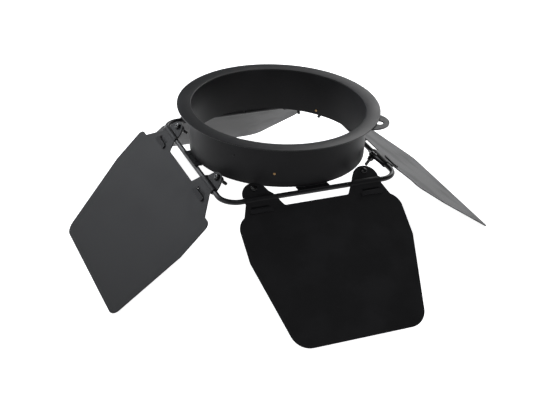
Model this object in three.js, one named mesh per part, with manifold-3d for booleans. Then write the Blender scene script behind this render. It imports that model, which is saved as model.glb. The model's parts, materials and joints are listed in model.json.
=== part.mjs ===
// Four-leaf barn door for a stage light: a flanged collar, a square rod frame
// welded under it, and four sheet leaves clamped on the rod so that each one turns
// on its own side of the square. Millimetres, +Z up towards the light. The origin is
// the centre of the collar in the plane of the flange's seating face.
import * as THREE from 'three';
import { mergeVertices } from 'three/addons/utils/BufferGeometryUtils.js';
import Module from 'manifold-3d';

const wasm = await Module();
wasm.setup();

// Collar
const collarBore = 206.6;
const bandThickness = 1.2;
const collarHeight = 54;
const flangeWidth = 16.7;
const flangeThickness = 1.2;
const touchGap = 0.3;
const collarFacets = 72;

// Square rod frame
const rodDiameter = 6;
const rodStandOff = 0.5;
const rodBendRadius = 20;
const rodEndGap = 0.6;

// Brackets between the collar and the rod
const bracketThickness = 1.2;
const bracketLength = 39;
const weldSpacing = 20;
const weldRadius = 1.8;
const weldHeight = 0.6;

// Safety eye under the flange
const eyeRadius = 22;
const eyeReach = 13;
const eyeThickness = 1.5;
const eyeHoleRadius = 5;
const eyeHoleFromTip = 12;
const eyeAzimuth = -39.5;

// Rivets in the collar's wall: azimuth and depth below the flange face
const wallRivets = [
  { name: 'rivet_front', azimuth: 245.4, depth: 37.5, finish: 'brass' },
  { name: 'rivet_rear', azimuth: 38.7, depth: 48.5, finish: 'brass' },
  { name: 'rivet_left', azimuth: 219, depth: 22.8, finish: 'black' },
];
const rivetShankRadius = 0.9;
const rivetHeadRadius = 1.5;
const rivetHeadHeight = 0.5;

// Leaves, measured in the leaf's own plane: u along the rod, v outwards from it
const leafThickness = 1;
const leafLength = 180.6;
const sideBend = 74;
const sideTaper = 23;
const windowDepth = 12.9;
const windowInset = 29.1;
const windowCornerRadius = 3;
const earRadius = 15.8;
const earCornerClearance = 4;
const earWaistInset = 0.5;
const earWaistOut = 4.6;
const earSeat = -0.7;
const leafSizes = {
  narrow: {
    beyondRod: -8.4, shoulder: 9.6, shoulderV: 20.5, shoulderRadius: 20, farRadius: 22,
    earCentreBack: 5, screwBack: 13.6, plateSeat: 1.4,
  },
  wide: {
    beyondRod: 15, shoulder: 16, shoulderV: 25, shoulderRadius: 8, farRadius: 14.5,
    earCentreBack: 2.8, screwBack: 12.8, plateSeat: 3,
  },
};

// Clamp under each ear
const clampThickness = 1.2;
const clampHalfWidth = 13;
const clampPinch = 1.2;
const clampPlateDrop = 0.6;
const slotNear = 10;
const slotSlack = 2.3;
const neckWidth = 20.6;
const tongueWidth = 28;
const tongueLength = 4.7;

// Clamp screw and lock nut
const screwDiameter = 4;
const screwLength = 16;
const headRadius = 4;
const headHeight = 2.6;
const socketRadius = 1.4;
const socketDepth = 1.3;
const nutAcrossFlats = 7;
const nutHeight = 3.4;
const nutCollarHeight = 1.6;
const nutCollarRadius = 3.1;

// Each leaf: side of the square, angle below the frame's plane, slide along the rod
const leaves = [
  { side: 'front', turn: 0, size: 'narrow', restAngle: 35, slide: -0.5 },
  { side: 'right', turn: 90, size: 'wide', restAngle: 36.5, slide: 5.5 },
  { side: 'rear', turn: 180, size: 'narrow', restAngle: 38.5, slide: 0 },
  { side: 'left', turn: 270, size: 'wide', restAngle: 47, slide: -5.5 },
];

// Sizes worked out from the ones above
const boreRadius = collarBore / 2;
const bandOuterRadius = boreRadius + bandThickness;
const flangeRadius = boreRadius + flangeWidth;
const bandTop = -flangeThickness - touchGap;
const bandBottom = -collarHeight;
const bracketTop = bandBottom - touchGap;
const rodRadius = rodDiameter / 2;
const rodLevel = bracketTop - bracketThickness - touchGap - rodRadius;
const frameHalf = bandOuterRadius + rodStandOff + rodRadius;
const rodStraight = frameHalf - rodBendRadius;
const earU = rodStraight - earCornerClearance - earRadius;
const windowHalf = earU - windowInset;
const screwRadius = screwDiameter / 2;
const grooveRadius = rodRadius + touchGap;
const neckNear = slotNear + slotSlack;
const neckFar = neckNear + clampThickness;
const slotFar = neckFar + touchGap;
const clampEarTop = Math.min(earSeat - clampPinch, -touchGap);
const headLevel = earSeat + leafThickness + touchGap;
const nutLevel = clampEarTop - clampThickness - touchGap;
const reliefReach = rodBendRadius / 2;

const paint = { black: 0x17171a, hardware: 0x0c0c0e, brass: 0x8a6a3c };

function material(color, roughness, metalness = 0.1) {
  return new THREE.MeshStandardMaterial({ color, roughness, metalness });
}

function solidOf(geometry) {
  const bare = geometry.clone();
  bare.deleteAttribute('normal');
  bare.deleteAttribute('uv');
  const merged = mergeVertices(bare, 1e-4);
  return new wasm.Manifold(new wasm.Mesh({
    numProp: 3,
    vertProperties: new Float32Array(merged.attributes.position.array),
    triVerts: new Uint32Array(merged.index.array),
  }));
}

function geometryOf(solid) {
  const mesh = solid.getMesh();
  const geometry = new THREE.BufferGeometry();
  geometry.setAttribute('position', new THREE.BufferAttribute(new Float32Array(mesh.vertProperties), 3));
  geometry.setIndex(new THREE.BufferAttribute(new Uint32Array(mesh.triVerts), 1));
  geometry.computeVertexNormals();
  return geometry;
}

function named(name, geometry, finish) {
  const mesh = new THREE.Mesh(geometry, finish);
  mesh.name = name;
  return mesh;
}

// A flat shape pushed up from z = level by height.
function slab(shape, level, height, curveSegments = 8) {
  return new THREE.ExtrudeGeometry(shape, { depth: height, bevelEnabled: false, curveSegments })
    .translate(0, 0, level);
}

// A profile drawn in the Y-Z plane, carried along X and centred on it.
function strip(profile, width) {
  return new THREE.ExtrudeGeometry(new THREE.Shape(profile), { depth: width, bevelEnabled: false })
    .translate(0, 0, -width / 2)
    .rotateX(Math.PI / 2)
    .rotateZ(Math.PI / 2);
}

function arcPoints(radius, from, to, steps) {
  return Array.from({ length: steps + 1 }, (_, i) => {
    const angle = from + ((to - from) * i) / steps;
    return new THREE.Vector2(radius * Math.cos(angle), radius * Math.sin(angle));
  });
}

function rod(radius, height, segments = 12) {
  return new THREE.CylinderGeometry(radius, radius, height, segments).rotateX(Math.PI / 2);
}

function turned(profile, segments = 12) {
  return new THREE.LatheGeometry(profile.map(([r, z]) => new THREE.Vector2(r, z)), segments)
    .rotateX(Math.PI / 2);
}

function onWall(geometry, azimuth, depth, radius) {
  const angle = THREE.MathUtils.degToRad(azimuth);
  return geometry
    .rotateY(Math.PI / 2)
    .rotateZ(angle)
    .translate(radius * Math.cos(angle), radius * Math.sin(angle), -depth);
}

// Collar: a flat flange ring on a rolled band
function flangeGeometry() {
  const ring = new THREE.Shape().absarc(0, 0, flangeRadius, 0, 2 * Math.PI);
  ring.holes.push(new THREE.Path().absarc(0, 0, boreRadius, 0, 2 * Math.PI));
  return slab(ring, -flangeThickness, flangeThickness, collarFacets / 2);
}

function bandGeometry() {
  const ring = new THREE.Shape().absarc(0, 0, bandOuterRadius, 0, 2 * Math.PI);
  ring.holes.push(new THREE.Path().absarc(0, 0, boreRadius, 0, 2 * Math.PI));
  let band = solidOf(slab(ring, bandBottom, bandTop - bandBottom, collarFacets / 2));
  for (const rivet of wallRivets) {
    const drill = rod(rivetShankRadius + touchGap, 6 * bandThickness, 10);
    band = band.subtract(solidOf(onWall(drill, rivet.azimuth, rivet.depth, boreRadius)));
  }
  return geometryOf(band);
}

// A rivet through the wall, with a low head on each side
function rivetGeometry({ azimuth, depth }) {
  const inner = -touchGap;
  const outer = bandThickness + touchGap;
  const profile = [
    [0, inner - rivetHeadHeight],
    [rivetHeadRadius * 0.7, inner - rivetHeadHeight],
    [rivetHeadRadius, inner],
    [rivetShankRadius, inner],
    [rivetShankRadius, outer],
    [rivetHeadRadius, outer],
    [rivetHeadRadius * 0.7, outer + rivetHeadHeight],
    [0, outer + rivetHeadHeight],
  ];
  return onWall(turned(profile), azimuth, depth, boreRadius);
}

// Safety eye: a round lug that stands out past the flange, cut off at the band
function eyeGeometry() {
  const centre = flangeRadius + eyeReach - eyeRadius;
  const lug = new THREE.Shape().absarc(centre, 0, eyeRadius, 0, 2 * Math.PI);
  const holeCentre = flangeRadius + eyeReach - eyeHoleFromTip;
  lug.holes.push(new THREE.Path().absarc(holeCentre, 0, eyeHoleRadius, 0, 2 * Math.PI));
  const level = -flangeThickness - touchGap - eyeThickness;
  const plate = solidOf(slab(lug, level, eyeThickness, 16));
  const collar = rod(bandOuterRadius + touchGap, 8 * eyeThickness, collarFacets)
    .translate(0, 0, level);
  const eye = geometryOf(plate.subtract(solidOf(collar)));
  return eye.rotateZ(THREE.MathUtils.degToRad(eyeAzimuth));
}

// Rod frame: a square with round corners, its two ends meeting under the rear bracket
class RodPath extends THREE.Curve {
  constructor(knots) {
    super();
    this.knots = knots;
  }

  knotAt(t) {
    return this.knots[Math.round(t * (this.knots.length - 1))];
  }

  getPointAt(t) {
    return this.knotAt(t).point.clone();
  }

  getTangentAt(t) {
    return this.knotAt(t).tangent.clone();
  }
}

function rodKnots(stepsPerBend) {
  const knots = [];
  const add = (x, y, heading) => knots.push({
    point: new THREE.Vector3(x, y, rodLevel),
    tangent: new THREE.Vector3(Math.cos(heading), Math.sin(heading), 0),
  });
  add(-rodEndGap / 2, frameHalf, Math.PI);
  for (let corner = 0; corner < 4; corner += 1) {
    const start = Math.PI / 2 + (corner * Math.PI) / 2;
    const cx = rodStraight * Math.sign(Math.cos(start + Math.PI / 4));
    const cy = rodStraight * Math.sign(Math.sin(start + Math.PI / 4));
    for (let i = 0; i <= stepsPerBend; i += 1) {
      const angle = start + (i / stepsPerBend) * (Math.PI / 2);
      const x = cx + rodBendRadius * Math.cos(angle);
      const y = cy + rodBendRadius * Math.sin(angle);
      add(x, y, angle + Math.PI / 2);
    }
  }
  add(rodEndGap / 2, frameHalf, Math.PI);
  return knots;
}

function frameGeometry() {
  const knots = rodKnots(7);
  const section = new THREE.Shape(arcPoints(rodRadius, 0, 2 * Math.PI, 12).slice(0, -1));
  return new THREE.ExtrudeGeometry(section, { steps: knots.length - 1, extrudePath: new RodPath(knots) });
}

// Bracket: a flat tab from the band's lower edge out over the rod, with two weld spots on it
function bracketGeometry() {
  const outerEdge = frameHalf + rodRadius;
  const half = bracketLength / 2;
  const innerEdge = boreRadius * 0.9;
  const tab = new THREE.Shape([
    new THREE.Vector2(-half, -outerEdge),
    new THREE.Vector2(half, -outerEdge),
    new THREE.Vector2(half, -innerEdge),
    new THREE.Vector2(-half, -innerEdge),
  ]);
  let bracket = solidOf(slab(tab, bracketTop - bracketThickness, bracketThickness));
  const collar = rod(boreRadius, 6 * bracketThickness, collarFacets).translate(0, 0, bracketTop);
  bracket = bracket.subtract(solidOf(collar));
  for (const side of [-1, 1]) {
    const spot = rod(weldRadius, bracketThickness + weldHeight, 12);
    const weldLevel = bracketTop + (weldHeight - bracketThickness) / 2;
    spot.translate((side * weldSpacing) / 2, -(bandOuterRadius + touchGap + weldRadius), weldLevel);
    bracket = bracket.add(solidOf(spot));
  }
  return geometryOf(bracket);
}

// Where a line from a point touches a circle, on the side given by sign.
function tangentPoint(point, centre, radius, sign) {
  const offset = point.clone().sub(centre);
  const swing = sign * Math.acos(radius / offset.length());
  return centre.clone().add(offset.setLength(radius).rotateAround(new THREE.Vector2(), swing));
}

// Corner at b between a and c, rounded by an arc of the given radius.
function roundCorner(a, b, c, radius, steps = 6) {
  const toA = a.clone().sub(b).normalize();
  const toC = c.clone().sub(b).normalize();
  const halfAngle = Math.acos(THREE.MathUtils.clamp(toA.dot(toC), -1, 1)) / 2;
  const centre = b.clone().add(toA.clone().add(toC).setLength(radius / Math.sin(halfAngle)));
  const start = b.clone().addScaledVector(toA, radius / Math.tan(halfAngle)).sub(centre);
  const sweep = Math.sign(toC.cross(toA)) * (Math.PI - 2 * halfAngle);
  return Array.from({ length: steps + 1 }, (_, i) => start.clone()
    .rotateAround(new THREE.Vector2(), (sweep * i) / steps)
    .add(centre));
}

// Half of a leaf's outline, from the window's middle round the ear, down the side and back.
function halfOutline(size) {
  const { beyondRod, shoulder, shoulderV, shoulderRadius, farRadius, earCentreBack } = size;
  const at = (u, v) => new THREE.Vector2(u, v);
  const side = frameHalf + beyondRod;
  const windowMiddle = at(0, windowDepth);
  const windowCorner = at(windowHalf, windowDepth);
  const earCentre = at(earU, -earCentreBack);
  const notch = at(side - shoulder, shoulderV);
  const waist = at(earU + earRadius - earWaistInset, earWaistOut);
  const across = Math.min(shoulder, shoulderRadius);
  const down = Math.sqrt(shoulderRadius ** 2 - (shoulderRadius - across) ** 2);
  const shoulderCentre = at(side - shoulderRadius, shoulderV + down);
  const shoulderStart = Math.atan2(-down, shoulderRadius - across);
  const bend = at(side, sideBend);
  const farCorner = at(side - sideTaper, leafLength);
  const earStart = tangentPoint(windowCorner, earCentre, earRadius, 1);
  const earEnd = tangentPoint(waist, earCentre, earRadius, -1);
  const startAngle = earStart.clone().sub(earCentre).angle();
  const endAngle = earEnd.clone().sub(earCentre).angle();
  const sweep = THREE.MathUtils.euclideanModulo(endAngle - startAngle, 2 * Math.PI);
  const ear = arcPoints(earRadius, startAngle, startAngle + sweep, 12).map((p) => p.add(earCentre));
  return [
    ...roundCorner(windowMiddle, windowCorner, earStart, windowCornerRadius, 4),
    ...ear,
    waist,
    ...(shoulder > shoulderRadius ? [notch] : []),
    ...arcPoints(shoulderRadius, shoulderStart, 0, 6).map((p) => p.add(shoulderCentre)),
    bend,
    ...roundCorner(bend, farCorner, at(0, leafLength), farRadius, 8),
  ];
}

// Bent sheet of a leaf: the plate lies above the rod's axis, its ears drop below it,
// and a half-round groove over the rod joins the two.
function leafProfile({ earCentreBack, plateSeat }) {
  const top = grooveRadius + leafThickness;
  const plateTop = plateSeat + leafThickness;
  const earTop = earSeat + leafThickness;
  const outerFrom = Math.asin(plateTop / top);
  const outerTo = Math.PI - Math.asin(earTop / top);
  const innerFrom = Math.asin(plateSeat / grooveRadius);
  const innerTo = Math.PI - Math.asin(earSeat / grooveRadius);
  const end = leafLength + leafThickness;
  const back = -(earCentreBack + earRadius + leafThickness);
  const points = [
    new THREE.Vector2(end, plateSeat),
    new THREE.Vector2(end, plateTop),
    ...arcPoints(top, outerFrom, outerTo, 8),
    new THREE.Vector2(back, earTop),
    new THREE.Vector2(back, earSeat),
    ...arcPoints(grooveRadius, innerTo, innerFrom, 8),
  ];
  return points.map(({ x, y }) => new THREE.Vector2(-x, y)).reverse();
}

// Room round the rod's bend, whichever way the leaf is turned: the groove's own radius,
// widened by as much as the rod has left its straight line.
function bendRelief() {
  const steps = 8;
  const flare = Array.from({ length: steps + 1 }, (_, i) => {
    const beyond = (reliefReach * i) / steps;
    return [grooveRadius + rodBendRadius - Math.sqrt(rodBendRadius ** 2 - beyond ** 2), beyond];
  });
  return turned([[0, 0], ...flare, [0, reliefReach]], 24);
}

function leafGeometry(size, slide) {
  const half = halfOutline(size);
  const outline = [...half, ...half.map(({ x, y }) => new THREE.Vector2(-x, y)).reverse()];
  const shape = new THREE.Shape(outline.map(({ x, y }) => new THREE.Vector2(x, -y)));
  const reach = grooveRadius + leafThickness + 1;
  const slotWidth = neckWidth + 2 * touchGap;
  let leaf = solidOf(slab(shape, -reach, 2 * reach))
    .intersect(solidOf(strip(leafProfile(size), 4 * frameHalf)));
  for (const side of [-1, 1]) {
    const hole = rod(screwRadius + touchGap, 2 * reach).translate(side * earU, size.screwBack, 0);
    const slot = new THREE.BoxGeometry(slotWidth, slotFar - slotNear, 2 * reach)
      .translate(side * earU, -(slotNear + slotFar) / 2, 0);
    const relief = bendRelief().rotateY((side * Math.PI) / 2).translate(side * rodStraight - slide, 0, 0);
    leaf = leaf.subtract(solidOf(hole)).subtract(solidOf(slot)).subtract(solidOf(relief));
  }
  return geometryOf(leaf);
}

// Clamp plate: under the ear, round the rod from below, up through the leaf's slot,
// and over its outer face as a T-shaped tongue.
function clampProfile({ earCentreBack, plateSeat }) {
  const outer = grooveRadius + clampThickness;
  const earBottom = clampEarTop - clampThickness;
  const plateTop = plateSeat - clampPlateDrop;
  const plateBottom = plateTop - clampThickness;
  const tongueLevel = plateSeat + leafThickness + touchGap;
  const tongueTop = tongueLevel + clampThickness;
  const back = -(earCentreBack + clampHalfWidth + clampThickness);
  const tip = neckFar + tongueLength;
  const points = [
    [back, clampEarTop],
    ...arcPoints(grooveRadius, -Math.PI - Math.asin(clampEarTop / grooveRadius),
      Math.asin(plateTop / grooveRadius), 8).map(({ x, y }) => [x, y]),
    [neckNear, plateTop],
    [neckNear, tongueTop],
    [tip, tongueTop],
    [tip, tongueLevel],
    [neckFar, tongueLevel],
    [neckFar, plateBottom],
    ...arcPoints(outer, Math.asin(plateBottom / outer),
      -Math.PI - Math.asin(earBottom / outer), 8).map(({ x, y }) => [x, y]),
    [back, earBottom],
  ];
  return points.map(([v, w]) => new THREE.Vector2(-v, w));
}

function clampGeometry(size) {
  const { earCentreBack, screwBack, plateSeat } = size;
  const neckStart = neckNear - touchGap;
  const neck = neckWidth / 2;
  const tongue = tongueWidth / 2;
  const tip = neckFar + tongueLength;
  const end = arcPoints(clampHalfWidth, 0, Math.PI, 12)
    .map(({ x, y }) => new THREE.Vector2(x, y + earCentreBack));
  const outline = new THREE.Shape([
    ...end,
    new THREE.Vector2(-clampHalfWidth, -neckStart),
    new THREE.Vector2(-neck, -neckStart),
    new THREE.Vector2(-neck, -slotFar),
    new THREE.Vector2(-tongue, -slotFar),
    new THREE.Vector2(-tongue, -tip),
    new THREE.Vector2(tongue, -tip),
    new THREE.Vector2(tongue, -slotFar),
    new THREE.Vector2(neck, -slotFar),
    new THREE.Vector2(neck, -neckStart),
    new THREE.Vector2(clampHalfWidth, -neckStart),
  ]);
  const reach = grooveRadius + plateSeat + leafThickness + 2 * clampThickness;
  const hole = rod(screwRadius + touchGap, 2 * reach).translate(0, screwBack, 0);
  return geometryOf(solidOf(slab(outline, -reach, 2 * reach))
    .intersect(solidOf(strip(clampProfile(size), 2 * tongueWidth)))
    .subtract(solidOf(hole)));
}

// Screw: a domed head with a round drive recess, and a plain shank
function screwGeometry({ screwBack }) {
  return turned([
    [0, -screwLength],
    [screwRadius * 0.75, -screwLength],
    [screwRadius, -screwLength + screwRadius * 0.25],
    [screwRadius, 0],
    [headRadius, 0],
    [headRadius, headHeight * 0.4],
    [headRadius * 0.86, headHeight * 0.78],
    [headRadius * 0.55, headHeight],
    [socketRadius, headHeight],
    [socketRadius, headHeight - socketDepth],
    [0, headHeight - socketDepth],
  ]).translate(0, screwBack, headLevel);
}

// Lock nut: a hexagon with a round collar below it
function nutGeometry({ screwBack }) {
  const hexagon = arcPoints(nutAcrossFlats / Math.sqrt(3), 0, 2 * Math.PI, 6).slice(0, -1);
  const body = solidOf(slab(new THREE.Shape(hexagon), -nutHeight, nutHeight));
  const collar = solidOf(rod(nutCollarRadius, nutCollarHeight + 1)
    .translate(0, 0, -nutHeight - (nutCollarHeight - 1) / 2));
  const bore = solidOf(rod(screwRadius + touchGap, 4 * nutHeight));
  return geometryOf(body.add(collar).subtract(bore)).translate(0, screwBack, nutLevel);
}

const barnDoor = new THREE.Group();
const sheetBlack = material(paint.black, 0.62);
barnDoor.add(named('flange_ring', flangeGeometry(), sheetBlack.clone()));
barnDoor.add(named('collar_band', bandGeometry(), sheetBlack.clone()));
barnDoor.add(named('safety_eye', eyeGeometry(), sheetBlack.clone()));
barnDoor.add(named('rod_frame', frameGeometry(), material(paint.black, 0.4)));
for (const rivet of wallRivets) {
  const bare = rivet.finish === 'brass';
  const finish = bare ? material(paint.brass, 0.4, 0.8) : material(paint.black, 0.62);
  barnDoor.add(named(rivet.name, rivetGeometry(rivet), finish));
}

for (const { side, turn, size, restAngle, slide } of leaves) {
  const quarter = new THREE.Group();
  quarter.rotation.z = THREE.MathUtils.degToRad(turn);
  quarter.add(named(`bracket_${side}`, bracketGeometry(), sheetBlack.clone()));

  const hinge = new THREE.Group();
  hinge.position.set(slide, -frameHalf, rodLevel);
  hinge.rotation.x = THREE.MathUtils.degToRad(restAngle);
  hinge.add(named(`leaf_${side}`, leafGeometry(leafSizes[size], slide), sheetBlack.clone()));
  for (const [hand, sign] of [['a', -1], ['b', 1]]) {
    const pieces = [
      named(`clamp_${side}_${hand}`, clampGeometry(leafSizes[size]), sheetBlack.clone()),
      named(`screw_${side}_${hand}`, screwGeometry(leafSizes[size]), material(paint.hardware, 0.25, 0.6)),
      named(`nut_${side}_${hand}`, nutGeometry(leafSizes[size]), material(paint.hardware, 0.35, 0.6)),
    ];
    for (const piece of pieces) {
      piece.position.x = sign * earU;
      hinge.add(piece);
    }
  }
  quarter.add(hinge);
  barnDoor.add(quarter);
}

export default barnDoor;
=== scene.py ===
import json

import bmesh
import bpy
import numpy as np
from mathutils import Matrix, Vector


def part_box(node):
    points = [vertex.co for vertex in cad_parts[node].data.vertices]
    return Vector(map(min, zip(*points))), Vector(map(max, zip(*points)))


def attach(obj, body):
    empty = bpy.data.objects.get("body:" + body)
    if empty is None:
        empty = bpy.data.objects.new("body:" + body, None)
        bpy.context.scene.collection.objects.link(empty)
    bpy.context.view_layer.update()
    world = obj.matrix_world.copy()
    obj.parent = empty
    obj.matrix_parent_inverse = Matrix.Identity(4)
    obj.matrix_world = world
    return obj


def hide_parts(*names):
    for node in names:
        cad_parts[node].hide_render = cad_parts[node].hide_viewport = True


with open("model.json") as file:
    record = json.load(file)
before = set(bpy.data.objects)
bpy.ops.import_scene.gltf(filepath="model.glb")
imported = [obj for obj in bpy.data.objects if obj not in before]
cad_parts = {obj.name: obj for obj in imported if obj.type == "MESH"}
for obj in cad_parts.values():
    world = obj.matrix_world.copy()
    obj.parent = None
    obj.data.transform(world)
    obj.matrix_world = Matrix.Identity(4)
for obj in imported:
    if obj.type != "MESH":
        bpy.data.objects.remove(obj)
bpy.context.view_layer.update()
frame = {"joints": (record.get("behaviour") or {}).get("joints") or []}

mm = 0.001
up = np.array([0.0, 0.0, 1.0])
print("frame loaded")


# faces of a grid of rows x columns points, closed round either way
def gridFaces(rows, columns, closeRows=False, closeColumns=False):
    index = np.arange(rows * columns).reshape(rows, columns)
    if closeRows:
        index = np.vstack([index, index[:1]])
    if closeColumns:
        index = np.hstack([index, index[:, :1]])
    quads = [index[:-1, :-1], index[:-1, 1:], index[1:, 1:], index[1:, :-1]]
    return np.stack(quads, axis=-1).reshape(-1, 4)


# points is rows x columns x 3 in millimetres; keep, if given, marks the faces that stay
def gridPiece(name, points, keep=None, merge=0.002, **closed):
    faces = gridFaces(*points.shape[:2], **closed)
    if keep is not None:
        faces = faces[keep.ravel()]
    mesh = bpy.data.meshes.new(name)
    mesh.from_pydata((points.reshape(-1, 3) * mm).tolist(), [], faces.tolist())
    cleaned = bmesh.new()
    cleaned.from_mesh(mesh)
    bmesh.ops.remove_doubles(cleaned, verts=cleaned.verts, dist=merge * mm)
    bmesh.ops.dissolve_degenerate(cleaned, edges=cleaned.edges, dist=merge * mm / 2)
    loose = [v for v in cleaned.verts if not v.link_faces]
    bmesh.ops.delete(cleaned, geom=loose, context="VERTS")
    bmesh.ops.recalc_face_normals(cleaned, faces=cleaned.faces)
    cleaned.to_mesh(mesh)
    cleaned.free()
    piece = bpy.data.objects.new(name, mesh)
    bpy.context.scene.collection.objects.link(piece)
    return piece


# applies the modifiers, then shades smooth except over edges sharper than the angle
def settle(piece, sharpAngle=40):
    graph = bpy.context.evaluated_depsgraph_get()
    mesh = bpy.data.meshes.new_from_object(piece.evaluated_get(graph))
    piece.modifiers.clear()
    piece.data = mesh
    mesh.shade_smooth()
    mesh.set_sharp_from_angle(angle=np.radians(sharpAngle))
    return piece


def thicken(piece, thickness, edge):
    wall = piece.modifiers.new("wall", "SOLIDIFY")
    wall.thickness = thickness * mm
    wall.offset = 0
    wall.use_even_offset = True
    soften = piece.modifiers.new("soften", "BEVEL")
    soften.width = edge * mm
    soften.segments = 2
    soften.limit_method = "ANGLE"
    soften.angle_limit = np.radians(50)
    soften.use_clamp_overlap = False
    return settle(piece)


def joined(name, parts):
    whole = bmesh.new()
    for part in parts:
        whole.from_mesh(part.data)
        bpy.data.objects.remove(part)
    mesh = bpy.data.meshes.new(name)
    whole.to_mesh(mesh)
    whole.free()
    piece = bpy.data.objects.new(name, mesh)
    bpy.context.scene.collection.objects.link(piece)
    return settle(piece)


# a profile of (radius, height) points turned round the vertical axis
def turned(name, profile, segments, closeRows=False, shape=None):
    radius, height = np.asarray(profile, float).T
    angle = np.linspace(0, 2 * np.pi, segments, endpoint=False)
    r = np.repeat(radius[:, None], segments, axis=1)
    if shape is not None:
        r = shape(r, height[:, None], angle[None, :])
    z = np.broadcast_to(height[:, None], r.shape)
    points = np.stack([r * np.cos(angle), r * np.sin(angle), z], axis=-1)
    return gridPiece(name, points, closeRows=closeRows, closeColumns=True)


def moved(piece, matrix):
    piece.data.transform(matrix)
    return piece


# corner b between a and c, rounded by an arc of the radius
def roundedCorner(a, b, c, radius, steps=8):
    a, b, c = (np.asarray(p, float) for p in (a, b, c))
    toA = (a - b) / np.linalg.norm(a - b)
    toC = (c - b) / np.linalg.norm(c - b)
    half = np.arccos(np.clip(toA @ toC, -1, 1)) / 2
    middle = toA + toC
    centre = b + middle / np.linalg.norm(middle) * radius / np.sin(half)
    start = b + toA * radius / np.tan(half) - centre
    side = toC[0] * toA[1] - toC[1] * toA[0]
    angle = np.sign(side) * (np.pi - 2 * half) * np.linspace(0, 1, steps + 1)
    x = start[0] * np.cos(angle) - start[1] * np.sin(angle)
    y = start[0] * np.sin(angle) + start[1] * np.cos(angle)
    return np.stack([x, y], axis=1) + centre


# where a line from a point outside touches a circle, on the side anticlockwise of the point
def touchPoint(point, centre, radius):
    offset = np.subtract(point, centre)
    distance = np.hypot(*offset)
    angle = np.arctan2(offset[1], offset[0]) + np.arccos(radius / distance)
    return np.add(centre, radius * np.array([np.cos(angle), np.sin(angle)]))


# a polyline walked at even steps, its corners softened by a running mean over the bend length
def softened(corners, bend, step=0.05):
    corners = np.asarray(corners, float)
    walked = np.concatenate([[0], np.cumsum(np.hypot(*np.diff(corners, axis=0).T))])
    along = np.arange(0, walked[-1], step)
    line = np.stack([np.interp(along, walked, corners[:, i]) for i in (0, 1)], axis=1)
    reach = int(bend / step / 2)
    padded = np.pad(line, ((reach, reach), (0, 0)), mode="reflect", reflect_type="odd")
    mean = np.ones(2 * reach + 1) / (2 * reach + 1)
    return along, np.stack([np.convolve(padded[:, i], mean, "valid") for i in (0, 1)], axis=1)


def arc(radius, start, end, steps):
    angle = np.radians(np.linspace(start, end, steps + 1))
    return np.stack([radius * np.cos(angle), radius * np.sin(angle)], axis=1)


# sorted values with those closer than the gap left out, and gaps wider than the step filled
def spread(values, gap, step):
    values = np.unique(np.asarray(values, float))
    values = values[np.concatenate([[True], np.diff(values) > gap])]
    filled = [
        np.linspace(a, b, int(np.ceil((b - a) / step)), endpoint=False)
        for a, b in zip(values[:-1], values[1:])
    ]
    return np.concatenate([*filled, values[-1:]])


# a socket that Python's operators work on, each adding its Math node
class Wire:
    def __init__(self, book, socket):
        self.book = book
        self.socket = socket

    def maths(self, operation, *values):
        return self.book.add("ShaderNodeMath", {"operation": operation}, dict(enumerate(values)))

    def __add__(self, other):
        return self.maths("ADD", self, other)

    def __sub__(self, other):
        return self.maths("SUBTRACT", self, other)

    def __rsub__(self, other):
        return self.maths("SUBTRACT", other, self)

    def __mul__(self, other):
        return self.maths("MULTIPLY", self, other)

    __radd__ = __add__
    __rmul__ = __mul__

    def clamped(self, low, high):
        settings = {"interpolation_type": "SMOOTHSTEP"}
        return self.book.add("ShaderNodeMapRange", settings, {0: self, 1: low, 2: high})


# one material's nodes: add sets a node's settings, then its sockets' values or links
class NodeBook:
    def __init__(self, name):
        self.material = bpy.data.materials.new(name)
        self.material.use_nodes = True
        self.tree = self.material.node_tree
        self.surface = self.tree.nodes["Principled BSDF"]

    def fill(self, node, sockets):
        for key, value in sockets.items():
            if isinstance(value, Wire):
                self.tree.links.new(value.socket, node.inputs[key])
            else:
                node.inputs[key].default_value = value

    def add(self, kind, settings=None, sockets=None, output=0):
        node = self.tree.nodes.new(kind)
        for key, value in (settings or {}).items():
            setattr(node, key, value)
        self.fill(node, sockets or {})
        return Wire(self, node.outputs[output])

    def noise(self, size, detail=2.0, stretch=(1, 1, 1)):
        place = self.add("ShaderNodeTexCoord", output="Object")
        place = self.add("ShaderNodeMapping", {"vector_type": "POINT"}, {0: place, "Scale": stretch})
        sockets = {"Vector": place, "Scale": 1 / (size * mm), "Detail": detail}
        return self.add("ShaderNodeTexNoise", {}, sockets)

    def blend(self, amount, low, high):
        settings = {"data_type": "RGBA"}
        return self.add("ShaderNodeMix", settings, {0: amount, 6: (*low, 1), 7: (*high, 1)}, output=2)

    def bump(self, height, depth, strength=1.0):
        sockets = {"Height": height, "Distance": depth * mm, "Strength": strength}
        return self.add("ShaderNodeBump", {}, sockets)


# Powder coat: a fine grain and a slower orange peel raise it, faint rubbed patches shift its
# colour and gloss, and rare specks of dust sit on it.
def powderCoat(name, look):
    book = NodeBook(name)
    grain = book.noise(look["grain"], 3.0)
    peel = book.noise(look["peel"], 1.0)
    rubbed = book.noise(look["patch"], 4.0).clamped(*look["patchEdge"])
    specks = book.noise(look["speck"], 1.0).clamped(*look["speckEdge"])
    shade = rubbed * look["patchShade"] + specks * look["dust"] + grain * look["grainShade"]
    colour = book.blend(shade, look["deep"], look["pale"])
    roughness = look["roughness"] + rubbed * look["rub"] + (grain - 0.5) * look["grainRub"]
    book.fill(book.surface, {
        "Base Color": colour,
        "Roughness": roughness,
        "Specular IOR Level": look["gloss"],
        "Normal": book.bump(grain * look["grainDepth"] + peel, look["depth"], look["relief"]),
    })
    return book.material


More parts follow.
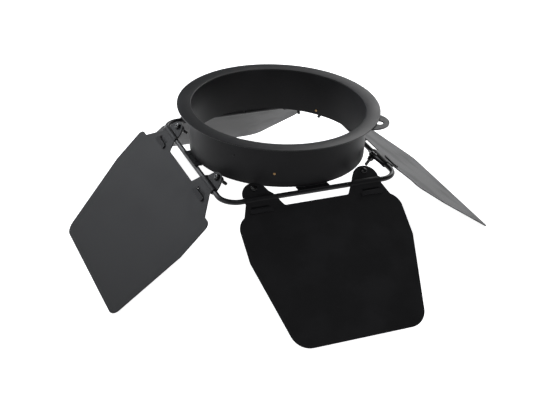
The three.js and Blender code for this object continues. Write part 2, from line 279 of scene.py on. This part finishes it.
def hardware(name, look):
    book = NodeBook(name)
    tarnish = book.noise(look["patch"], 3.0).clamped(0.35, 0.7)
    turning = book.noise(look["turning"], 2.0)
    book.fill(book.surface, {
        "Base Color": book.blend(tarnish, look["deep"], look["pale"]),
        "Metallic": look["metallic"],
        "Roughness": look["roughness"] + tarnish * 0.12,
        "Specular IOR Level": look["gloss"],
        "Normal": book.bump(turning, look["depth"]),
    })
    return book.material


coat = {
    "grain": 0.7, "peel": 2.4, "patch": 46.0, "speck": 2.2,
    "deep": (0.0072, 0.0071, 0.0078), "pale": (0.0150, 0.0148, 0.0163),
    "roughness": 0.47, "rub": 0.07, "gloss": 0.125, "dust": 0.5,
    "grainDepth": 0.8, "depth": 0.05, "relief": 0.7,
    "patchEdge": (0.42, 0.7), "patchShade": 0.6, "speckEdge": (0.70, 0.76),
    "grainShade": 0.3, "grainRub": 0.12,
}
smoothCoat = {**coat, "grainDepth": 0.4, "patch": 70.0}
paints = {
    "leaf": powderCoat("leafPowderCoat", coat),
    "flange": powderCoat("flangePowderCoat", {**smoothCoat, "roughness": 0.38, "gloss": 0.22}),
    "band": powderCoat("bandPowderCoat", {**smoothCoat, "roughness": 0.46, "gloss": 0.10}),
    # the clamps wear the leaves' black coat, painted about twice as pale: a painted highlight for the light
    # their pads catch
    "clamp": powderCoat("clampPaintedHighlightCoat", {
        **coat, "deep": (0.014, 0.014, 0.015), "pale": (0.026, 0.026, 0.028),
        "roughness": 0.42, "gloss": 0.05,
    }),
    "rod": powderCoat("rodPaint", {
        **coat, "roughness": 0.30, "grain": 1.0, "grainDepth": 0.3, "gloss": 0.22,
    }),
    "screw": hardware("screwBlack", {
        "patch": 5.0, "turning": 0.4, "deep": (0.004, 0.004, 0.004), "pale": (0.012, 0.012, 0.013),
        "metallic": 0.0, "roughness": 0.10, "gloss": 0.38, "depth": 0.01,
    }),
    "brass": hardware("agedBrass", {
        "patch": 1.5, "turning": 0.3, "deep": (0.20, 0.11, 0.045), "pale": (0.42, 0.27, 0.12),
        "metallic": 0.85, "roughness": 0.3, "gloss": 0.5, "depth": 0.02,
    }),
}
print("materials made")


def finished(piece, node, body, paint):
    piece.data.materials.clear()
    piece.data.materials.append(paints[paint])
    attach(piece, body)
    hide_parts(node)
    return piece


# the collar's sizes read from the frame, in millimetres
flangeLow, flangeHigh = (np.array(corner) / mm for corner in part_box("flange_ring"))
bandLow, bandHigh = (np.array(corner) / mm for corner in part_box("collar_band"))
rodLow, rodHigh = (np.array(corner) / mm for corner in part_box("rod_frame"))

collar = {
    "wall": 1.2,
    "flangeRadius": flangeHigh[0], "flangeThickness": flangeHigh[2] - flangeLow[2],
    "bandRadius": bandHigh[0], "bandBottom": bandLow[2],
    "edge": 0.35, "innerEdge": 0.8, "segments": 288,
}
collar["bore"] = collar["bandRadius"] - collar["wall"]


# a rectangle of radius and height whose corners are rounded, in order round the section
def ringSection(inner, outer, low, high, radii):
    corners = [(inner, low), (outer, low), (outer, high), (inner, high)]
    rounded = [
        roundedCorner(corners[i - 1], corners[i], corners[(i + 1) % 4], radii[i], 4)
        for i in range(4)
    ]
    return np.vstack(rounded)


def makeFlange():
    c = collar
    radii = [c["edge"] / 2, c["edge"], c["edge"], c["innerEdge"]]
    section = ringSection(c["bore"], c["flangeRadius"], -c["flangeThickness"], 0, radii)
    ring = turned("flangeRing", section, c["segments"], closeRows=True)
    finished(settle(ring), "flange_ring", "base", "flange")


def throughWall(azimuth, depth, radius):
    angle = np.radians(azimuth)
    outward = Vector((np.cos(angle), np.sin(angle), 0))
    place = outward * radius * mm - Vector((0, 0, depth * mm))
    return Matrix.Translation(place) @ outward.to_track_quat("Z", "Y").to_matrix().to_4x4()


def makeBand():
    c = collar
    top = -c["flangeThickness"] + 0.1
    section = ringSection(c["bore"], c["bandRadius"], c["bandBottom"], top, [c["edge"]] * 4)
    band = turned("collarBand", section, c["segments"], closeRows=True)
    finished(settle(band), "collar_band", "base", "band")


rivets = {
    "front": (245.4, 37.5, "brass", "brass"), "rear": (38.7, 48.5, "brass", "brass"),
    "left": (219.0, 22.8, "band", "black_paint"), "head": 1.5, "shank": 0.9, "rise": 0.55,
}


# a rivet: a domed head on each face of the wall, the dome a quarter of an ellipse
def makeRivet(side):
    head, rise = rivets["head"], rivets["rise"]
    inner, outer = 0.02 - collar["wall"], 0.02
    dome = arc(1, 0, 90, 8) * [head, rise]
    profile = np.vstack([
        (dome * [1, -1] + [0, inner])[::-1], [[rivets["shank"], inner]],
        [[rivets["shank"], outer]], dome + [0, outer],
    ])
    azimuth, depth, paint, slot = rivets[side]
    rivet = turned(f"rivet{side.title()}", profile, 32)
    moved(rivet, throughWall(azimuth, depth, collar["bandRadius"]))
    finished(settle(rivet), f"rivet_{side}", "base", paint)


makeFlange()
makeBand()
for rivetSide in ("front", "rear", "left"):
    makeRivet(rivetSide)
print("collar made")

rod = {
    "radius": (rodHigh[2] - rodLow[2]) / 2, "level": (rodHigh[2] + rodLow[2]) / 2,
    "bend": 20.0, "endGap": 0.6, "endEdge": 0.5, "around": 32, "bendSteps": 16,
}
rod["half"] = rodHigh[0] - rod["radius"]


# the rod's centre line: four straights joined by quarter circles, open by the end gap at the rear
def rodLine():
    half, bend, gap = rod["half"], rod["bend"], rod["endGap"] / 2
    quarter = arc(bend, 90, 180, rod["bendSteps"]) + [bend - half, half - bend]
    turns = []
    for i in range(4):
        angle = np.pi / 2 * i
        spin = np.array([[np.cos(angle), np.sin(angle)], [-np.sin(angle), np.cos(angle)]])
        turns.append(quarter @ spin)
    line = np.vstack([[-gap, half], [-20, half], *turns, [20, half], [gap, half]])
    return np.column_stack([line, np.full(len(line), rod["level"])])


# a circle carried square to a line, its first and last rings drawn in to close the ends
def makeRod():
    line = rodLine()
    heading = np.gradient(line, axis=0)
    heading[0], heading[-1] = line[1] - line[0], line[-1] - line[-2]
    heading /= np.linalg.norm(heading, axis=1)[:, None]
    edge = rod["endEdge"]
    centres = np.vstack([
        line[:1], line[:1], line[:1] + heading[:1] * edge, line[1:-1],
        line[-1:] - heading[-1:] * edge, line[-1:], line[-1:],
    ])
    heads = np.vstack([heading[:1]] * 3 + [heading[1:-1]] + [heading[-1:]] * 3)
    radius = np.full(len(centres), rod["radius"])
    radius[[0, -1]] = 0
    radius[[1, -2]] -= edge
    across = np.cross(heads, up)
    angle = np.linspace(0, 2 * np.pi, rod["around"], endpoint=False)
    ring = across[:, None] * np.cos(angle)[None, :, None] + up * np.sin(angle)[None, :, None]
    points = centres[:, None] + ring * radius[:, None, None]
    wire = gridPiece("rodFrame", points, closeColumns=True)
    finished(settle(wire), "rod_frame", "base", "rod")


makeRod()

bracket = {
    "length": 39.0, "thickness": 1.2, "edge": 0.25,
    "weldSpacing": 20.0, "weld": 1.8, "weldRise": 0.5, "weldSink": 0.4, "weldGap": 0.3,
}


# a flat tab from an arc at the bore out to a straight edge, with a low dome at each weld
def makeBracket(side, turn):
    b = bracket
    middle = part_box(f"bracket_{side}")[0][2] / mm + b["thickness"] / 2
    across = np.linspace(-b["length"] / 2, b["length"] / 2, 41)
    share = np.linspace(0, 1, 9)[:, None]
    inner = np.sqrt(collar["bore"] ** 2 - across**2)
    outer = rod["half"] + rod["radius"]
    out = inner + (outer - inner) * share
    x = np.broadcast_to(across, out.shape)
    points = np.stack([x, -out, np.full_like(out, middle)], axis=-1)
    tab = thicken(gridPiece("tab", points), b["thickness"], b["edge"])
    parts = [tab]
    for way in (-1, 1):
        dome = arc(1, 0, 90, 8) * [b["weld"], b["weldRise"]]
        profile = np.vstack([[[0, -b["weldSink"]], [b["weld"], -b["weldSink"]]], dome])
        spot = turned("weld", profile, 28)
        reach = collar["bandRadius"] + b["weldGap"] + b["weld"]
        place = Vector((way * b["weldSpacing"] / 2, -reach, middle + b["thickness"] / 2)) * mm
        parts.append(moved(spot, Matrix.Translation(place)))
    whole = joined(f"bracket{side.title()}", parts)
    moved(whole, Matrix.Rotation(np.radians(turn), 4, "Z"))
    finished(whole, f"bracket_{side}", "base", "band")


for bracketSide, bracketTurn in (("front", 0), ("right", 90), ("rear", 180), ("left", 270)):
    makeBracket(bracketSide, bracketTurn)

eye = {
    "radius": 22.0, "reach": 13.0, "hole": 5.0, "holeFromTip": 12.0,
    "azimuth": -39.5, "thickness": 1.5, "edge": 0.3,
}


# the lug as rays from the hole's centre: each runs from the hole to the lug's rim,
# or to the band's wall where that comes first
def makeEye():
    e = eye
    tip = collar["flangeRadius"] + e["reach"]
    hole = tip - e["holeFromTip"]
    angle = np.linspace(0, 2 * np.pi, 144, endpoint=False)
    toLug = (hole - (tip - e["radius"])) * np.cos(angle)
    rim = -toLug + np.sqrt(toLug**2 + e["radius"] ** 2 - (hole - tip + e["radius"]) ** 2)
    wall = collar["bandRadius"] + 0.1
    inside = (hole * np.cos(angle)) ** 2 - hole**2 + wall**2
    meets = (inside > 0) & (np.cos(angle) < 0)
    toWall = -hole * np.cos(angle) - np.sqrt(np.where(inside > 0, inside, 0))
    reach = np.where(meets, np.minimum(rim, toWall), rim)
    share = np.linspace(0, 1, 9)[:, None]
    ray = e["hole"] + (reach - e["hole"]) * share
    low, high = (np.array(corner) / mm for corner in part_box("safety_eye"))
    z = np.full_like(ray, (low[2] + high[2]) / 2)
    points = np.stack([hole + ray * np.cos(angle), ray * np.sin(angle), z], axis=-1)
    lug = thicken(gridPiece("safetyEye", points, closeColumns=True), e["thickness"], e["edge"])
    moved(lug, Matrix.Rotation(np.radians(e["azimuth"]), 4, "Z"))
    finished(lug, "safety_eye", "base", "flange")


makeEye()
print("rod frame, brackets and safety eye made")

leaf = {
    "thickness": 1.0, "length": 180.6, "bend": 74.0, "taper": 23.0, "edge": 0.2,
    "windowDepth": 12.9, "windowInset": 29.1, "windowCorner": 3.0,
    "earRadius": 15.8, "earClearance": 4.0, "earSideStep": 0.13,
    "earSeat": -0.7, "grooveGap": 0.3, "foldBend": 1.4, "openLimit": 70.0,
    "slotNear": 10.0, "slotFar": 13.8, "slotHalf": 10.6,
    "columnGap": 0.12, "columnStep": 3.0, "rowGap": 0.05, "rowStep": 3.2,
    "flatFrom": 5.5, "foldTo": 5.2, "foldRows": 45, "merge": 0.06,
    "narrow": {
        "side": -8.4, "shoulder": 9.6, "shoulderV": 20.5, "shoulderRadius": 20.0,
        "farCorner": 22.0, "earBack": 5.0, "earSide": 5.9, "screwBack": 13.6,
        "seat": 1.4,
    },
    "wide": {
        "side": 15.0, "shoulder": 16.0, "shoulderV": 25.0, "shoulderRadius": 8.0,
        "farCorner": 14.5, "earBack": 2.8, "earSide": 5.0, "screwBack": 12.8,
        "seat": 3.0,
    },
}
earAlong = rod["half"] - rod["bend"] - leaf["earClearance"] - leaf["earRadius"]


# half a leaf's outline as two chains that rise with the distance from its middle: the near one
# along the window, round the ear, over the shoulder; the far one along the end and down the side
def leafChains(size):
    side = rod["half"] + size["side"]
    window = (earAlong - leaf["windowInset"], leaf["windowDepth"])
    centre = (earAlong, -size["earBack"])
    widest = earAlong + leaf["earRadius"]
    notch = (side - size["shoulder"], size["shoulderV"])
    radius = size["shoulderRadius"]
    across = min(size["shoulder"], radius)
    down = np.sqrt(radius**2 - (radius - across) ** 2)
    turn = np.degrees(np.arctan2(-down, radius - across))
    shoulder = arc(radius, turn, 0, 14) + [side - radius, size["shoulderV"] + down]
    bend = (side, leaf["bend"])
    far = (side - leaf["taper"], leaf["length"])
    earStart = touchPoint(window, centre, leaf["earRadius"])
    startAngle = np.degrees(np.arctan2(earStart[1] - centre[1], earStart[0] - centre[0])) % 360
    ear = arc(leaf["earRadius"], startAngle, 360, 28) + centre
    near = np.vstack([
        [(0, leaf["windowDepth"])],
        roundedCorner((0, leaf["windowDepth"]), window, earStart, leaf["windowCorner"], 6),
        ear, [(widest + leaf["earSideStep"], size["earSide"]), notch], shoulder,
    ])
    end = roundedCorner((0, leaf["length"]), far, bend, size["farCorner"], 14)
    return near, np.vstack([[(0, leaf["length"])], end, [bend]])


# the sheet's fold seen from its side: the ear, a round groove over the rod, then the plate
def leafFold(size):
    half = leaf["thickness"] / 2
    middle = rod["radius"] + leaf["grooveGap"] + half
    plate, ear = size["seat"] + half, leaf["earSeat"] + half
    start = 180 - np.degrees(np.arcsin(ear / middle))
    groove = arc(middle, start, np.degrees(np.arcsin(plate / middle)), 40)
    back = -size["earBack"] - leaf["earRadius"] - 1
    return softened([[back, ear], *groove, [leaf["length"] + 1, plate]], leaf["foldBend"])


# a leaf is the fold swept along the rod: at each place across, the walk along the fold
# is held between the two outline chains, so its rows gather on the outline
def leafSheet(name, size):
    near, far = leafChains(size)
    walk, fold = leafFold(size)
    reach = np.maximum.accumulate(fold[:, 0]) + walk * 1e-6
    slots = [earAlong - leaf["slotHalf"], earAlong + leaf["slotHalf"]]
    columns = [*near[:, 0], *far[:, 0], *slots]
    across = spread(columns, leaf["columnGap"], leaf["columnStep"])
    across = np.concatenate([-across[:0:-1], across])
    marks = [
        leaf["slotNear"], leaf["slotFar"], leaf["windowDepth"],
        size["earSide"], size["shoulderV"], leaf["bend"], -leaf["flatFrom"], leaf["flatFrom"],
    ]
    flats = np.interp(marks, reach, walk)
    folds = np.interp(np.linspace(-leaf["foldTo"], leaf["foldTo"], leaf["foldRows"]), reach, walk)
    rows = spread([walk[0], walk[-1], *flats, *folds], leaf["rowGap"], leaf["rowStep"])
    first = np.interp(np.interp(abs(across), *near.T), reach, walk)
    last = np.interp(np.interp(abs(across), *far.T), reach, walk)
    held = np.clip(rows[:, None], first, last)
    out = np.interp(held, walk, fold[:, 0])
    lift = np.interp(held, walk, fold[:, 1])
    wide = np.broadcast_to(across, out.shape)
    outMiddle = (out[1:, 1:] + out[:-1, :-1]) / 2
    wideMiddle = abs((across[1:] + across[:-1]) / 2)
    offEar = abs(wideMiddle - earAlong)
    besideEar = (outMiddle < size["earSide"]) & (wideMiddle > earAlong + leaf["earRadius"])
    inSlot = (outMiddle > leaf["slotNear"]) & (outMiddle < leaf["slotFar"])
    inSlot = inSlot & (offEar < leaf["slotHalf"])
    area = (held[1:, 1:] - held[:-1, 1:]) + (held[1:, :-1] - held[:-1, :-1])
    points = np.stack([wide, -out, lift], axis=-1)
    keep = ~inSlot & ~besideEar & (area > 1e-6)
    sheet = gridPiece(name, points, keep=keep, merge=leaf["merge"])
    return thicken(sheet, leaf["thickness"], leaf["edge"])


clamp = {
    "thickness": 1.2, "halfWidth": 13.0, "top": -1.9, "plateDrop": 0.6,
    "neckHalf": 10.3, "neckAt": 12.9, "shoulderAt": 11.8, "tongueHalf": 14.0,
    "tongueRise": 1.3, "tongueTip": 18.2, "fold": 1.6, "edge": 0.25, "tongueCorner": 1.2,
    "rowEvery": 6, "columns": 33, "merge": 0.04,
}


# the clamp's plate: under the ear, round the rod from below, up through the slot, out as a tongue;
# its half width follows a half circle, then the neck, then the tongue
def clampPlate(name, size):
    c, earBack = clamp, size["earBack"]
    half = c["thickness"] / 2
    middle = rod["radius"] + leaf["grooveGap"] + half
    low, plate = c["top"] - half, size["seat"] - c["plateDrop"] - half
    tongue = size["seat"] + c["tongueRise"] + half
    start = -180 - np.degrees(np.arcsin(low / middle))
    groove = arc(middle, start, np.degrees(np.arcsin(plate / middle)), 40)
    back = -earBack - c["halfWidth"]
    neck = c["neckAt"]
    corners = [[back, low], *groove, [neck, plate], [neck, tongue], [c["tongueTip"], tongue]]
    walk, fold = softened(corners, c["fold"])
    rows = walk[::c["rowEvery"]]
    out = np.interp(rows, walk, fold[:, 0])
    lift = np.interp(rows, walk, fold[:, 1])
    onTongue = (lift > (plate + tongue) / 2) & (out > neck + half)
    roundEnd = np.sqrt(np.clip(c["halfWidth"] ** 2 - np.minimum(out + earBack, 0) ** 2, 0, None))
    tip = np.clip(c["tongueTip"] - out, 0, c["tongueCorner"])
    corner = c["tongueCorner"] - np.sqrt(np.clip(2 * tip * c["tongueCorner"] - tip**2, 0, None))
    width = np.where(out < c["shoulderAt"], roundEnd, c["neckHalf"])
    width = np.where(onTongue, c["tongueHalf"] - corner, width)
    share = np.sin(np.linspace(-np.pi / 2, np.pi / 2, c["columns"]))
    wide = width[:, None] * share
    tall = np.broadcast_to(out[:, None], wide.shape)
    points = np.stack([wide, -tall, np.broadcast_to(lift[:, None], wide.shape)], axis=-1)
    return thicken(gridPiece(name, points, merge=c["merge"]), c["thickness"], c["edge"])


screw = {
    "radius": 2.0, "length": 16.0, "level": 0.6, "head": 4.0, "headHeight": 2.6,
    "socket": 1.45, "socketDepth": 1.4, "pitch": 0.7, "threadDepth": 0.22, "plain": 2.5,
    "tip": 0.5, "rim": 0.2, "domeFrom": 0.5, "domeTurn": 66, "domeRings": 10,
}


# the distance from the axis to a hexagon's side at each angle, for the given half width
def hexagon(halfWidth, angle):
    return halfWidth / np.cos((angle + np.pi / 6) % (np.pi / 3) - np.pi / 6)


# a domed head with a six-sided socket; the shank's thread is a ridge that climbs one pitch a turn
def screwBody(name, back):
    s = screw
    shank = np.arange(-s["length"] + s["tip"], -s["plain"], s["pitch"] / 6)
    threaded = np.column_stack([np.full(len(shank), s["radius"]), shank])
    inwards = s["head"] * np.cos(np.radians(np.linspace(0, s["domeTurn"], s["domeRings"])))
    upwards = np.sin(np.radians(np.linspace(0, 90, s["domeRings"])))
    dome = np.column_stack([inwards, s["domeFrom"] + (s["headHeight"] - s["domeFrom"]) * upwards])
    floor = s["headHeight"] - s["socketDepth"]
    profile = np.vstack([
        [[0, -s["length"]], [s["radius"] - s["tip"], -s["length"]]], threaded,
        [[s["radius"], -s["plain"]], [s["radius"], 0]],
        [[s["head"] - s["rim"], 0], [s["head"], s["rim"]]], dome,
        [[s["socket"], s["headHeight"]], [s["socket"], floor], [0, floor]],
    ])

    def cut(r, z, angle):
        ridge = abs((z / s["pitch"] - angle / (2 * np.pi)) % 1 - 0.5) * 2
        onThread = (z > -s["length"] + 0.4) & (z < -s["plain"] - 0.01) & (r > 0)
        inSocket = (r > 0) & (abs(r - s["socket"]) < 1e-6)
        r = np.where(onThread, r - s["threadDepth"] * ridge, r)
        return np.where(inSocket, hexagon(s["socket"], angle), r)

    body = settle(turned(name, profile, 36, shape=cut), 32)
    return moved(body, Matrix.Translation(Vector((0, back, s["level"])) * mm))


nut = {
    "halfWidth": 3.5, "height": 3.4, "collar": 3.1, "collarHeight": 1.6, "bore": 2.05,
    "chamfer": 0.35, "level": -3.4, "faceEdge": 0.1, "collarStep": 0.05,
    "collarEdge": (0.5, 0.6), "boreEdge": (0.2, 0.3),
}


# a lock nut: a hexagon whose corners a cone cuts off, over a round collar, with a round bore
def nutBody(name, back):
    n = nut
    low, rim = -n["height"], n["halfWidth"] / np.cos(np.pi / 6)
    bottom = low - n["collarHeight"]
    face, chamfer = n["halfWidth"] - n["faceEdge"], n["chamfer"]
    collarIn, collarUp = n["collarEdge"]
    boreOut, boreUp = n["boreEdge"]
    profile = [
        (n["bore"], 0), (face, 0), (rim, -chamfer), (rim, low + chamfer), (face, low),
        (n["collar"], low - n["collarStep"]), (n["collar"], bottom + collarUp),
        (n["collar"] - collarIn, bottom), (n["bore"] + boreOut, bottom), (n["bore"], bottom + boreUp),
    ]

    def cut(r, z, angle):
        return np.where(r > n["halfWidth"], np.minimum(r, hexagon(n["halfWidth"], angle)), r)

    body = settle(turned(name, profile, 48, closeRows=True, shape=cut), 28)
    return moved(body, Matrix.Translation(Vector((0, back, n["level"])) * mm))


# the matrix that carries a leaf's own axes, along the rod, inwards and up, to its place at rest
def hingeFrame(joint):
    along = Vector(joint["axis"])
    outward = along.cross(Vector(up))
    angle = np.radians(-leaf["openLimit"] - joint["range_deg"][0])
    inward = -(outward * np.cos(angle) - Vector(up) * np.sin(angle))
    lift = outward * np.sin(angle) + Vector(up) * np.cos(angle)
    turn = Matrix((along, inward, lift)).transposed().to_4x4()
    return Matrix.Translation(Vector(joint["pos_m"])) @ turn


def makeDoor(side, size):
    joint = next(j for j in frame["joints"] if j["name"] == f"{side}_leaf_hinge")
    place = hingeFrame(joint)
    body = joint["child"]
    sheet = moved(leafSheet(f"leaf{side.title()}", leaf[size]), place)
    finished(sheet, f"leaf_{side}", body, "leaf")
    for hand, way in (("a", -1), ("b", 1)):
        end = place @ Matrix.Translation(Vector((way * earAlong * mm, 0, 0)))
        label = f"{side.title()}{hand.upper()}"
        plate = moved(clampPlate(f"clamp{label}", leaf[size]), end)
        finished(plate, f"clamp_{side}_{hand}", body, "clamp")
        bolt = moved(screwBody(f"screw{label}", leaf[size]["screwBack"]), end)
        finished(bolt, f"screw_{side}_{hand}", body, "screw")
        lock = moved(nutBody(f"nut{label}", leaf[size]["screwBack"]), end)
        finished(lock, f"nut_{side}_{hand}", body, "screw")
    print(side, "door made")


for doorSide, doorSize in (("front", "narrow"), ("right", "wide"), ("rear", "narrow"), ("left", "wide")):
    makeDoor(doorSide, doorSize)

studio = {
    "floorSize": 14.0, "floorColour": (0.93, 0.93, 0.93), "floorGlow": 0.93,
    "floorRoughness": 0.9, "toneSize": 900.0, "toneAmount": 0.2, "toneDark": 0.97,
    "world": (0.80, 0.83, 0.88), "worldStrength": 0.16,
}


# the floor holds the far edges of the two wide leaves, whose angles differ, so it leans
def makeFloor():
    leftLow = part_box("leaf_left")[0]
    rightLow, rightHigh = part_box("leaf_right")
    run = rightHigh[0] - leftLow[0]
    slope = (rightLow[2] - leftLow[2]) / run
    size = np.linspace(-studio["floorSize"], studio["floorSize"], 3)
    x, y = np.meshgrid(size, size)
    points = np.stack([x, y, leftLow[2] + (x - leftLow[0]) * slope], axis=-1) / mm
    floor = gridPiece("floor", points)
    book = NodeBook("paleFloor")
    tone = book.noise(studio["toneSize"], 2.0)
    pale = studio["floorColour"]
    book.fill(book.surface, {
        "Base Color": book.blend(tone * studio["toneAmount"], pale, [c * studio["toneDark"] for c in pale]),
        "Roughness": studio["floorRoughness"],
        "Emission Color": (1, 1, 1, 1),
        "Emission Strength": studio["floorGlow"],
    })
    floor.data.materials.append(book.material)


# azimuth and elevation in degrees, distance and size in metres, power in watts, colour
lamps = {
    "rearLeft": (205, 24, 2.6, (2.2, 1.3), 46, (0.93, 0.96, 1.0)),
    "rearRight": (128, 30, 2.6, (1.8, 1.2), 34, (1, 1, 1)),
    "leftSide": (-80, 22, 2.2, (1.0, 0.9), 8, (1, 1, 1)),
    "frontFill": (-6, 66, 2.6, (1.6, 1.0), 9, (1, 1, 1)),
}


def makeLight(name, azimuth, elevation, distance, size, power, colour):
    a, e = np.radians(azimuth), np.radians(elevation)
    direction = Vector((np.sin(a) * np.cos(e), -np.cos(a) * np.cos(e), np.sin(e)))
    lamp = bpy.data.lights.new(name, "AREA")
    lamp.shape, lamp.size, lamp.size_y = "RECTANGLE", *size
    lamp.energy = power
    lamp.color = colour
    holder = bpy.data.objects.new(name, lamp)
    holder.location = direction * distance
    holder.rotation_euler = direction.to_track_quat("Z", "Y").to_euler()
    bpy.context.scene.collection.objects.link(holder)


def makeWorld():
    world = bpy.data.worlds.new("studioWorld")
    world.use_nodes = True
    backdrop = world.node_tree.nodes["Background"]
    backdrop.inputs["Color"].default_value = (*studio["world"], 1)
    backdrop.inputs["Strength"].default_value = studio["worldStrength"]
    bpy.context.scene.world = world


makeFloor()
makeWorld()
for lampName, lampPlace in lamps.items():
    makeLight(lampName, *lampPlace)

camera = {
    "azimuth": -24.18, "elevation": 29.32, "roll": 3.05,
    "distance": 1433.6, "aimAcross": -4.6, "aimUp": -112.8, "lens": 79.7,
}


def makeCamera():
    a, e, roll = (np.radians(camera[key]) for key in ("azimuth", "elevation", "roll"))
    back = np.array([np.sin(a) * np.cos(e), -np.cos(a) * np.cos(e), np.sin(e)])
    level = np.array([np.cos(a), np.sin(a), 0])
    above = np.cross(back, level)
    across = np.cos(roll) * level + np.sin(roll) * above
    tilted = np.cos(roll) * above - np.sin(roll) * level
    place = camera["aimAcross"] * across + camera["aimUp"] * tilted + camera["distance"] * back
    data = bpy.data.cameras.new("camera")
    data.lens, data.sensor_width = camera["lens"], 36
    data.clip_start, data.clip_end = 0.01, 100
    holder = bpy.data.objects.new("camera", data)
    turn = Matrix([across, tilted, back]).transposed().to_4x4()
    holder.matrix_world = Matrix.Translation(Vector(place) * mm) @ turn
    bpy.context.scene.collection.objects.link(holder)
    bpy.context.scene.camera = holder


makeCamera()
bpy.context.scene.view_settings.view_transform = "Standard"
print("floor, lights and camera made")
